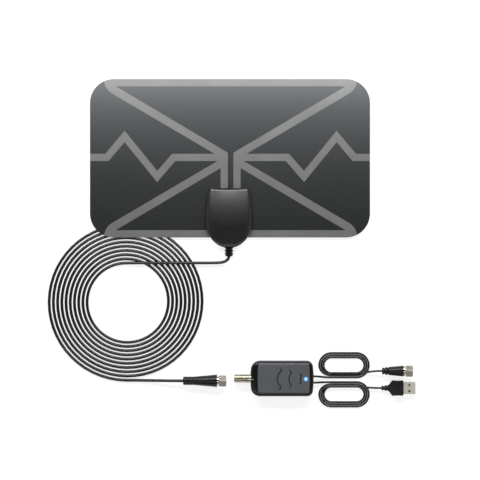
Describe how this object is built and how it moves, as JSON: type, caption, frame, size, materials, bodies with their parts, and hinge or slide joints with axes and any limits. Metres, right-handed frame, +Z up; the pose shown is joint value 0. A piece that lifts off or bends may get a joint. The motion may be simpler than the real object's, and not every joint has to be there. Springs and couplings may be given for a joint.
{
  "type": "amplified tv antenna",
  "caption": "Flat indoor TV antenna with printed bow elements, a coiled lead, and a USB-powered in-line amplifier.",
  "frame": {"origin": "on the surface the set lies on, below the middle of the panel's bottom edge", "axes": "+X to the right along the panel's width, +Y up the panel away from its lead, +Z up off the surface"},
  "size_m": [0.3689, 0.3287, 0.0155],
  "materials": {
    "panel_black": "semi-gloss laminated sheet with a fine print texture",
    "foil_grey": "dull grey conductor under a clear film",
    "housing_black": "satin moulded plastic with a fine spark-eroded grain",
    "board_green": "solder-masked glass-fibre board",
    "ferrite": "sintered, dull",
    "copper": "bare copper, slightly dull",
    "tin": "tinned, satin",
    "boot_black": "satin moulded vinyl",
    "cable_black": "satin extruded vinyl jacket",
    "nickel": "bright nickel plate with turning marks",
    "insulator_white": "natural white polyethylene",
    "shell_grey": "satin moulded plastic with a fine grain",
    "shell_black": "satin moulded plastic",
    "chip_black": "matt moulding compound",
    "contact_gold": "gold flash over brass",
    "lamp_blue": "diffused lens, lit blue",
    "shell_steel": "nickel-plated folded steel"
  },
  "bodies": {
    "antenna_set": {"panel_sheet": "panel_black", "element_foil": "foil_grey", "housing_front": "housing_black", "housing_back": "housing_black", "balun_board": "board_green", "balun_core": "ferrite", "balun_winding": "copper", "feed_rivet_left": "tin", "feed_rivet_right": "tin", "lead_strain_relief": "boot_black", "lead_tube_a": "cable_black", "lead_coil": "cable_black", "lead_tube_b": "cable_black", "lead_plug_boot": "boot_black", "lead_plug_body": "nickel", "lead_plug_insulator": "insulator_white", "lead_plug_pin": "copper", "amp_top_shell": "shell_grey", "amp_bottom_shell": "shell_black", "amp_board": "board_green", "amp_chip": "chip_black", "amp_inductor": "ferrite", "amp_socket": "nickel", "amp_socket_insulator": "insulator_white", "amp_socket_contact": "contact_gold", "amp_lamp": "lamp_blue", "rf_tube_a": "cable_black", "rf_hank": "cable_black", "rf_tube_b": "cable_black", "rf_plug_boot": "boot_black", "rf_plug_body": "nickel", "rf_plug_insulator": "insulator_white", "rf_plug_pin": "copper", "usb_tube_a": "cable_black", "usb_hank": "cable_black", "usb_tube_b": "cable_black", "usb_grip": "boot_black", "usb_shell": "shell_steel", "usb_tongue": "insulator_white", "usb_contacts": "contact_gold"},
    "lead_nut": {"lead_plug_nut": "nickel"},
    "rf_nut": {"rf_plug_nut": "nickel"}
  },
  "joints": [
    {"name": "lead_nut_spin", "type": "hinge", "parent": "antenna_set", "child": "lead_nut", "pos_m": [-0.0073, -0.1432, 0.0065], "axis": [1, 0, 0], "continuous": true},
    {"name": "rf_nut_spin", "type": "hinge", "parent": "antenna_set", "child": "rf_nut", "pos_m": [0.179, -0.1334, 0.0064], "axis": [1, 0, 0], "continuous": true}
  ]
}
